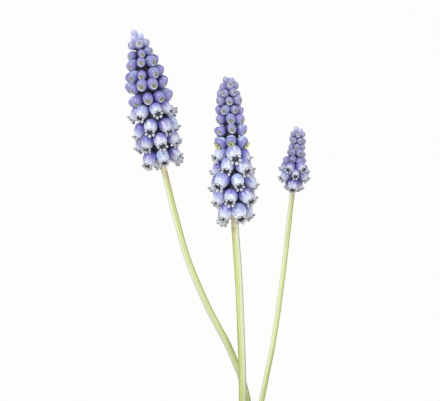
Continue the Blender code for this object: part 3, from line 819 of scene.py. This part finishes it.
def makeStalkTree():
    # sweeps a ring along the curve, and keeps where each point lies along it and round it, counted from the
    # painted highlight
    tree, given = newTree("stalkSweep", {"Int": ("Sides",), "Float": ("Foot radius", "Top radius", "Highlight")})
    factor = addNode(tree, "GeometryNodeSplineParameter").outputs["Factor"]
    ring = addNode(tree, "GeometryNodeCurvePrimitiveCircle", {"Resolution": given["Sides"], "Radius": 1.0})
    back = addNode(tree, "ShaderNodeMath", (given["Highlight"], -1.0), operation="MULTIPLY")
    fromHighlight = addNode(tree, "ShaderNodeVectorRotate", {
        "Vector": addNode(tree, "GeometryNodeInputPosition"), "Angle": back,
    }, rotation_type="Z_AXIS")
    line, profile = (
        addNode(tree, "GeometryNodeStoreNamedAttribute", {
            "Geometry": shape, "Name": label, "Value": value,
        }, data_type=kind, domain="POINT")
        for shape, label, value, kind in (
            (given["Geometry"], "along", factor, "FLOAT"), (ring, "ring", fromHighlight, "FLOAT_VECTOR"),
        )
    )
    width = addNode(tree, "ShaderNodeMapRange", {
        "Value": factor, "To Min": given["Foot radius"], "To Max": given["Top radius"],
    })
    swept = addNode(tree, "GeometryNodeCurveToMesh", {
        "Curve": line, "Profile Curve": profile, "Scale": width, "Fill Caps": True,
    })
    smooth = addNode(tree, "GeometryNodeSetShadeSmooth", {"Geometry": swept, "Shade Smooth": True})
    return endTree(tree, given, smooth)


def makeStalk(name, tree):
    spec = stalks[name]
    points = [Vector(p) * mm for p in spec["points"]]
    points.insert(0, Vector((points[0].x, points[0].y, soil["level"] + bulb["mouthFloor"] + gap)))
    line = smoothLine(points, 1.2 * mm)
    curve = bpy.data.curves.new("stalkLine", "CURVE")
    curve.dimensions = "3D"
    spline = curve.splines.new("POLY")
    spline.points.add(len(line) - 1)
    for point, place in zip(spline.points, line):
        point.co = (*place, 1)
    foot, top = spec["radii"]
    obj = grown(f"flowerstalk_{name}", added("stalkLine", curve), tree, {
        "Sides": 28, "Foot radius": foot * mm, "Top radius": top * mm, "Highlight": radians(spec["paintedHighlight"]),
        "Finish": stalkSkin,
    })
    dress(obj, "stalk", f"stalk_{name}")


stalkTree = makeStalkTree()
for name in stalks:
    makeStalk(name, stalkTree)
print("stalks made")


# Flower heads: florets in rings round an axis, from the stalk's end to the topmost bud.
# A ring's stage runs from 0 at the lowest open ring, through 1 at the highest open ring, to 2 at the tip.
# tipBuds are the last ring: each a turn round the axis and a rise, in degrees, and a lift in mm. Florets
# are half opened up to the stage of turning. fade is how far they are greyish and young how far they are
# pale, by stage. The chance of an open floret to be plain is lower where more of them are deep violet.

heads = {
    "left": {
        "tip": (-35.3, -4.6, 206.7),
        "lowestRing": 3.9, "rings": 11, "openRings": 4, "ringStep": (5.3, 2.5),
        "reach": ((0, 7.0), (0.3, 8.0), (1, 7.9), (1.3, 7.4), (1.5, 6.1), (1.7, 4.8), (1.88, 3.7), (2, 1.3)),
        "open": (4.05, 5.2), "bud": (3.3, 3.3), "last": (2.3, 2.8),
        "tipBuds": ((10, 84, 1.4), (22, 62, -0.2), (158, 64, 0), (272, 60, -0.3)),
        "turning": 1.0,
        "fade": ((1.1, 0.1), (1.9, 0.22), (2, 0)),
        "young": ((1.72, 0), (1.86, 0.5), (2, 0.45)),
        "chance": 1.0, "turn": 44, "lowestTurn": 26, "seed": 3,
    },
    "middle": {
        "tip": (-5.6, 0.2, 191.7),
        "lowestRing": 4.4, "rings": 13, "openRings": 5, "ringStep": (5.0, 2.0),
        "reach": (
            (0, 6.7), (0.25, 7.9), (0.6, 7.8), (1, 7.2), (1.2, 6.2), (1.4, 4.9), (1.65, 4.5), (1.88, 3.2),
            (2, 1.3),
        ),
        "open": (4.45, 5.7), "bud": (3.0, 3.0), "last": (2.2, 2.4),
        "tipBuds": ((15, 70, 0.2), (162, 66, -0.2), (268, 66, -0.1)),
        "turning": 1.17,
        "fade": ((1.15, 0), (1.5, 0.2), (1.85, 0.35), (2, 0.5)),
        "young": ((1.15, 0), (1.5, 0.16), (1.85, 0.3), (2, 0.25)),
        "chance": 0.9, "turn": 76, "lowestTurn": 0, "seed": 11,
    },
    "right": {
        "tip": (17.0, 6.8, 175.8),
        "lowestRing": 1.9, "rings": 9, "openRings": 3, "ringStep": (2.8, 1.8),
        "reach": ((0, 3.6), (0.5, 4.8), (1, 5.3), (1.2, 3.7), (1.5, 3.1), (1.8, 2.7), (2, 1.1)),
        "open": (3.15, 3.7), "bud": (2.25, 2.3), "last": (1.6, 1.6),
        "tipBuds": ((5, 74, 0.4), (165, 70, -0.2), (275, 60, -0.3)),
        "turning": 1.0,
        "fade": ((0, 0.2), (1, 0.2), (1.15, 0.4), (1.9, 0.4), (2, 0.1)),
        "young": ((1.0, 0), (1.2, 0.1), (1.9, 0.4), (2, 0.75)),
        "chance": 0.3, "turn": 143, "lowestTurn": 0, "seed": 5,
    },
}
floret = {
    "sizes": ((0, "open"), (1, "open"), (1.2, "bud"), (1.3, "bud"), (2, "last")),
    # how far below the horizontal a floret points, by stage
    "drop": (
        (0, 64), (0.6, 58), (0.8, 54), (1, 48), (1.12, 38), (1.35, 27), (1.7, 12), (1.9, -16), (2, -60),
    ),
    # how much taller than wide it is, seen along its length
    "tall": ((0, 1), (1, 1), (1.12, 1.18), (1.9, 1.15), (2, 1)),
    # place along it and radius, as shares
    "outer": ((-0.15, 0.5), (0.09, 0.87), (0.38, 1.0), (0.68, 0.86), (0.87, 0.62), (1.0, 0.7)),
    "spacing": ((0, 1.25), (1, 1.25), (1.2, 1.15), (2, 1.15)),
    "widest": 0.55,
    "turnJitter": 6, "dropJitter": 8, "sizeJitter": 0.1, "riseJitter": 0.15,
    "tipRoot": 0.55 * mm, "rootLeast": 0.25 * mm, "coreLeast": 0.7 * mm, "coreBump": 0.15 * mm,
    "deepFrom": ((0.45, 0.0), (0.75, 1.0)),  # where the core turns to its near-black painted shade, in shares of the lowest ring's place
    "lastBud": 1.95,  # up to this stage it is a bud, and past it a tip bud
    "spinJitter": 0.35,
}


def headAxis(name):
    foot = Vector(stalks[name]["points"][-1]) * mm
    line = Vector(heads[name]["tip"]) * mm - foot
    return foot, line.normalized(), line.length


def ringStage(spec, ring):
    lastOpen = spec["openRings"] - 1
    if ring <= lastOpen:
        return ring / lastOpen
    return 1 + (ring - lastOpen) / (spec["rings"] - 1 - lastOpen)


def ringPlaces(name):
    # where each ring's roots are on the axis; the middles of its florets close up towards the tip
    spec = heads[name]
    length = headAxis(name)[2]
    first, last = spec["ringStep"]
    steps = [first + (last - first) * i / (spec["rings"] - 2) for i in range(spec["rings"] - 1)]
    lowest = spec["lowestRing"] * mm
    tip = (spec["last"][1] / 2 + max(lift for _, _, lift in spec["tipBuds"])) * mm
    stretch = (length - tip - lowest) / sum(steps)
    middle, places = lowest, []
    for ring, step in enumerate([*steps, 0]):
        stage = ringStage(spec, ring)
        drop = radians(keyed(floret["drop"], stage))
        places.append(middle + floret["widest"] * floretSize(spec, stage)[1] * sin(drop))
        middle += step * stretch
    return places


def floretSize(spec, stage):
    return [keyed([(at, spec[kind][i] * mm) for at, kind in floret["sizes"]], stage) for i in (0, 1)]


def rootRadius(spec, stage):
    width, length = floretSize(spec, stage)
    drop = radians(keyed(floret["drop"], stage))
    lie, tip = cos(drop), abs(sin(drop))
    half = keyed(floret["tall"], stage) * width / 2
    out = max(place * length * lie + size * half * tip for place, size in floret["outer"])
    return max(floret["rootLeast"], keyed(spec["reach"], stage) * mm - out)


def placedFlorets(name):
    # every floret of a head, by the CAD's own rule: root, direction, upper side, width, length and stage
    spec = heads[name]
    foot, axis, _ = headAxis(name)
    across = axis.cross(Vector((0, 1, 0))).normalized()
    behind = axis.cross(across)
    draw = random.Random(spec["seed"])
    turn = radians(spec["turn"])
    found = []
    places = ringPlaces(name)

    def add(turn, rise, place, radius, size, stage):
        radial = across * cos(turn) + behind * sin(turn)
        direction = radial * cos(rise) + axis * sin(rise)
        upper = axis * cos(rise) - radial * sin(rise)
        found.append((foot + axis * place + radial * radius, direction, upper, *size, stage))

    for ring, place in enumerate(places[:-1]):
        stage = ringStage(spec, ring)
        width, length = floretSize(spec, stage)
        radius = rootRadius(spec, stage)
        dropDeg = keyed(floret["drop"], stage)
        middle = radius + floret["widest"] * length * cos(radians(dropDeg))
        count = max(1, round(2 * pi * middle / (width * keyed(floret["spacing"], stage))))
        turn += pi / count
        start = turn + (radians(spec["lowestTurn"]) if ring == 0 else 0)
        for i in range(count):
            here = start + 2 * pi * i / count + radians(draw.uniform(-1, 1) * floret["turnJitter"])
            drop = radians(dropDeg + draw.uniform(-1, 1) * floret["dropJitter"])
            size = 1 + draw.uniform(-1, 1) * floret["sizeJitter"]
            lift = draw.uniform(-1, 1) * floret["riseJitter"] * width
            add(here, -drop, place + lift, radius, (width * size, length * size), stage)
    for turnDeg, riseDeg, lift in spec["tipBuds"]:
        place = places[-1] + lift * mm
        add(radians(turnDeg), radians(riseDeg), place, floret["tipRoot"], floretSize(spec, 2), 2)
    return found


# The four shapes of floret. Each has its root at 0 and its mouth at 1 along Z, and a half width of 1.
# A body row is its place, its radius, and a mark on it with its strength. Teeth stand round the mouth
# from radius to radius.

floretShapes = {
    "open": {
        "sides": 30,
        "slender": 2.4,  # length over half width
        "bend": 17,  # how far the mouth turns up and out, in degrees
        "rows": (
            (-0.32, 0.09), (-0.12, 0.1), (-0.03, 0.26), (0.02, 0.55), (0.09, 0.8), (0.19, 0.94), (0.32, 1.0),
            (0.46, 0.99), (0.58, 0.94), (0.69, 0.84), (0.78, 0.72), (0.85, 0.62), (0.89, 0.55),
            # the dark edge and throat rows are painted shade at the lip and inside the mouth
            (0.92, 0.5, "edge"), (0.92, 0.42, "throat"), (0.86, 0.34, "throat"), (0.84, 0.2, "throat"),
            (0.88, 0.1, "eye"),
        ),
        "teeth": {
            "count": 6, "radii": (0.4, 0.86), "places": (0.9, 0.985), "half": 0.29, "thick": 0.09,
            "mark": "tooth",
        },
    },
    "turning": {
        "sides": 28,
        "slender": 2.1,
        "bend": 10,
        "rows": (
            # the shoulder rows marked here always take the pale blue painted highlight on their upper side
            (-0.32, 0.12), (-0.1, 0.14), (0.0, 0.42, "cap"), (0.1, 0.74, "cap"), (0.24, 0.95, "cap"),
            (0.4, 1.0, "cap"), (0.56, 0.98), (0.7, 0.9), (0.8, 0.77), (0.87, 0.6), (0.89, 0.46, "edge"),
            (0.87, 0.3, "starEye"), (0.84, 0.1, "starEye"),
        ),
        "teeth": {
            "count": 6, "radii": (0.12, 0.72), "places": (0.9, 0.975), "half": 0.22, "thick": 0.05,
            "mark": "bloom",
        },
    },
    "bud": {
        "sides": 28,
        "slender": 1.9,
        "bend": 0,
        "rows": (
            (-0.32, 0.3), (-0.12, 0.5), (0.05, 0.72), (0.2, 0.89), (0.36, 0.98), (0.52, 1.0), (0.68, 0.95),
            (0.81, 0.85), (0.89, 0.74), (0.93, 0.63, "pale", 0.5), (0.94, 0.52, "pale"), (0.92, 0.42, "pale"),
            (0.9, 0.32, "edge"), (0.93, 0.1, "starEye"),
        ),
        "teeth": {
            "count": 5, "radii": (0.04, 0.47), "places": (0.945, 0.93), "half": 0.14, "thick": 0.04,
            "mark": "star",
        },
    },
    "tip": {
        "sides": 20,
        "slender": 2.4,
        "bend": 0,
        "lift": 0.5,  # keeps the painted shade at the root off it
        "rows": (
            (-0.7, 0.36), (-0.4, 0.56), (-0.1, 0.8), (0.1, 0.94), (0.28, 1.0, "frost", 0.15),
            (0.45, 0.98, "frost", 0.35), (0.62, 0.88, "frost", 0.6), (0.77, 0.7, "frost", 0.8),
            (0.89, 0.46, "frost"), (0.97, 0.22, "frost"),
        ),
    },
}
toothShape = {
    "rows": (0.02, 0.2, 0.5, 0.8, 0.98),  # shares of its length
    "sides": 8,
    "edgeShade": (0.85, 0.2, 0.0, 0.2),  # how much painted shade it has at its edge, and round from there
}
bendStart, bendSpan, bendSteps = 0.3, 0.7, 12  # shares of a floret's length


def bentPoint(spec, x, y, place):
    # bends a floret's upper part towards +X, its up and out side, by as much more as it is nearer the mouth
    slender, steps = spec["slender"], bendSteps
    low = min(place, bendStart)
    centreX, centreZ, angle = 0.0, low * slender, 0.0
    for step in range(steps):
        share = (place - low) * (step + 0.5) / steps
        angle = radians(spec["bend"]) * share / bendSpan
        centreX += sin(angle) * (place - low) * slender / steps
        centreZ += cos(angle) * (place - low) * slender / steps
    return (centreX + x * cos(angle), y, (centreZ - x * sin(angle)) / slender)


def addLoft(points, faces, values, spec, rows, around, place):
    # adds a closed form of rings to a floret: place(row, i) gives x, y, the place along, and the marks
    faces += loftFaces(rows, around, len(points), capped=True)
    lift = spec.get("lift", 0)
    for row in range(rows):
        for i in range(around):
            x, y, z, marks = place(row, i)
            points.append(bentPoint(spec, x, y, z))
            values["along"].append(max(0.0, z) * (1 - lift) + lift)
            values["ring"].append((x, y, 0))
            for label in floretMarks:
                values[label].append(marks.get(label, 0.0))


def makeFloretShape(kind):
    spec = floretShapes[kind]
    points, faces, values = [], [], {label: [] for label in ("along", "ring", *floretMarks)}
    turns = turnsOf(spec["sides"])

    def bodyPoint(row, i):
        place, radius, *mark = spec["rows"][row]
        radius *= 1 + 0.02 * cos(6 * turns[i]) * (0.15 < place < 0.85)  # six faint ribs
        marks = {mark[0]: mark[1] if len(mark) > 1 else 1.0} if mark else {}
        return *roundAt(turns[i], radius, place), marks

    addLoft(points, faces, values, spec, len(spec["rows"]), spec["sides"], bodyPoint)
    teeth = spec.get("teeth")
    for middle in turnsOf(teeth["count"]) if teeth else ():
        middle += pi / teeth["count"]

        def toothPoint(row, i):
            # a small rounded petal tip: widest in its middle, with painted shade along its edge
            share = toothShape["rows"][row]
            swell = sqrt(1 - (2 * share - 1) ** 2)
            (inner, outer), (low, high) = teeth["radii"], teeth["places"]
            r = inner + (outer - inner) * share
            turn = turnsOf(toothShape["sides"])[i]
            side = teeth["half"] * swell * cos(turn)
            z = low + (high - low) * sin(share * pi * 0.6) + teeth["thick"] * swell * sin(turn)
            rim = toothShape["edgeShade"][i % 4] + 0.3 * (share > 0.9)
            x = r * cos(middle) - side * sin(middle)
            y = r * sin(middle) + side * cos(middle)
            return x, y, z, {teeth["mark"]: 1.0, "edge": min(1.0, rim)}

        addLoft(points, faces, values, spec, len(toothShape["rows"]), toothShape["sides"], toothPoint)
    return meshObject(f"floret_{kind}", points, faces, None, values)


def makeHeadTree():
    # puts the floret shapes on the head's points: one shape for each kind, turned and sized by the points
    tree, given = newTree("floretHead", {"Object": floretShapes, "Float": ("Spin",), "Int": ("Seed",)})
    named = {
        label: addNode(tree, "GeometryNodeInputNamedAttribute", {"Name": label}, data_type=kind)
        for label, kind in (("kind", "INT"), ("aim", "FLOAT_VECTOR"), ("size", "FLOAT_VECTOR"))
    }
    spin = addNode(tree, "FunctionNodeRandomValue", {2: -1.0, 3: 1.0, "Seed": given["Seed"]})
    angle = addNode(tree, "ShaderNodeMath", (spin, given["Spin"]), operation="MULTIPLY")
    turn = addNode(tree, "FunctionNodeAxisAngleToRotation", {"Axis": (0, 0, 1), "Angle": angle})
    aim = addNode(tree, "FunctionNodeEulerToRotation", (named["aim"],))
    facing = addNode(tree, "FunctionNodeRotateRotation", (aim, turn), rotation_space="LOCAL")
    joined = tree.nodes.new("GeometryNodeJoinGeometry")
    for number, kind in enumerate(floretShapes):
        shape = addNode(tree, "GeometryNodeObjectInfo", {"Object": given[kind]})
        chosen = {2: named["kind"], 3: number}
        placed = addNode(tree, "GeometryNodeInstanceOnPoints", {
            "Points": given["Geometry"], "Instance": shape.outputs["Geometry"], "Rotation": facing,
            "Selection": addNode(tree, "FunctionNodeCompare", chosen, data_type="INT", operation="EQUAL"),
            "Scale": named["size"],
        })
        tree.links.new(placed.outputs[0], joined.inputs[0])
    return endTree(tree, given, joined)


def makeHead(name, tree, shapes):
    spec = heads[name]
    draw = random.Random(spec["seed"] + 100)
    points, values = [], {label: [] for label in ("aim", "size", "kind", "stage", "chance", "fade", "young")}
    for root, direction, upper, width, length, stage in placedFlorets(name):
        points.append(root)
        turnTo = Matrix((upper, direction.cross(upper), direction)).transposed()
        for label, value in {
            "aim": tuple(turnTo.to_euler()),
            "size": (keyed(floret["tall"], stage) * width / 2, width / 2, length),
            "kind": sum(stage > limit for limit in (1, spec["turning"], floret["lastBud"])),
            "stage": stage,
            "chance": draw.random() * (spec["chance"] if stage <= 1 else 1.0),
            "fade": keyed(spec["fade"], stage),
            "young": keyed(spec["young"], stage),
        }.items():
            values[label].append(value)
    source = meshObject("floretRoots", points, [], None, values)
    obj = grown(f"florets_{name}", source, tree, {
        **shapes, "Spin": floret["spinJitter"], "Seed": spec["seed"], "Finish": petal,
    })
    dress(obj, "floret", f"head_{name}")
    print(f"head {name}: {len(points)} florets, {len(obj.data.polygons)} faces")


def makeRachis(name):
    # the head's own stem, thickest where the open florets stand on it
    spec = heads[name]
    foot, axis, _ = headAxis(name)
    places = ringPlaces(name)
    neck = stalks[name]["radii"][1] * mm
    keys = [(-0.8 * mm, neck * 0.96), (0, neck), (0.35 * places[0], neck)]
    for ring, place in enumerate(places):
        radius = rootRadius(spec, ringStage(spec, ring)) - 0.1 * mm
        keys.append((place, max(floret["coreLeast"], radius)))
    turnTo = axis.to_track_quat("Z", "Y")
    sides, rows, points, deep = 32, 71, [], []
    for row in range(rows):
        place = keys[0][0] + (keys[-1][0] - keys[0][0]) * row / (rows - 1)
        radius = eased(keys, place)
        deep += [keyed(floret["deepFrom"], place / places[0])] * sides
        for turn in turnsOf(sides):
            bump = floret["coreBump"] * noise.noise(Vector(roundAt(turn, 3, place * 500)))
            points.append(foot + turnTo @ Vector(roundAt(turn, radius + bump, place)))
    faces = loftFaces(rows, sides, capped=True)
    dress(meshObject(f"rachis_{name}", points, faces, rachisSkin, {"deep": deep}), "floret")


floretKinds = {kind: makeFloretShape(kind) for kind in floretShapes}
headTree = makeHeadTree()
for name in heads:
    makeHead(name, headTree, floretKinds)
    makeRachis(name)
for obj in floretKinds.values():
    bpy.data.objects.remove(obj)
print("flower heads made")


# Floor, light and camera

studio = {
    "pixel": 0.32 * mm,  # what one pixel of the photo shows at y = 0
    "pixels": 440,  # across the photo
    "distance": 1.6,
    "aim": (-8.3 * mm, 0, 151.8 * mm),
    "floorRadius": 1.1,
    "floorFade": (0.18, 0.95),
    "lightAim": (0, 0, 0.14),
    # place, power in watts and size of each light
    "lights": {
        "keyLight": ((-0.9, -1.1, 1.1), 14.0, 0.6),
        "fillLight": ((1.1, -0.8, 0.6), 4.0, 0.9),
        "backLight": ((0.3, 1.3, 0.9), 6.0, 0.7),
    },
}


def makeFloor():
    # pale painted board that fades out at its rim
    made, tree = newMaterial("paleBoard")
    place = addNode(tree, "ShaderNodeTexCoord").outputs["Object"]
    far = addNode(tree, "ShaderNodeVectorMath", (place,), operation="LENGTH")
    fade = addNode(tree, "ShaderNodeMapRange", (far, *studio["floorFade"]), interpolation_type="SMOOTHSTEP")
    board = addNode(tree, "ShaderNodeBsdfDiffuse", {"Color": "#f0efec", "Roughness": 0.6})
    clear = addNode(tree, "ShaderNodeBsdfTransparent")
    both = addNode(tree, "ShaderNodeMixShader", (fade, board, clear))
    addNode(tree, "ShaderNodeOutputMaterial", {"Surface": both})
    rim = [roundAt(turn, studio["floorRadius"]) for turn in turnsOf(96)]
    meshObject("floor", rim, [tuple(range(len(rim)))], made)


def makeWorld():
    world = bpy.data.worlds.new("studio")
    world.use_nodes = True
    tree = world.node_tree
    tree.nodes.clear()
    seen = addNode(tree, "ShaderNodeLightPath").outputs["Is Camera Ray"]
    fill = addNode(tree, "ShaderNodeBackground", {"Color": "#ffffff", "Strength": 0.66})
    back = addNode(tree, "ShaderNodeBackground", {"Color": "#fdfdfc", "Strength": 1.0})
    both = addNode(tree, "ShaderNodeMixShader", (seen, fill, back))
    addNode(tree, "ShaderNodeOutputWorld", {"Surface": both})
    bpy.context.scene.world = world
    bpy.context.scene.view_settings.view_transform = "Standard"


def makeLights():
    for name, (place, power, size) in studio["lights"].items():
        light = bpy.data.lights.new(name, "AREA")
        light.energy, light.size = power, size
        obj = added(name, light)
        obj.location = place
        aim = Vector(studio["lightAim"]) - Vector(place)
        obj.rotation_euler = aim.to_track_quat("-Z", "Y").to_euler()


def makeCamera():
    camera = bpy.data.cameras.new("camera")
    camera.lens = camera.sensor_width / (studio["pixels"] * studio["pixel"]) * studio["distance"]
    camera.clip_start, camera.clip_end = 0.05, 20
    obj = added("camera", camera)
    obj.location = Vector(studio["aim"]) - Vector((0, studio["distance"], 0))
    obj.rotation_euler = (pi / 2, 0, 0)
    bpy.context.scene.camera = obj


makeFloor()
makeWorld()
makeLights()
makeCamera()
print("studio made")
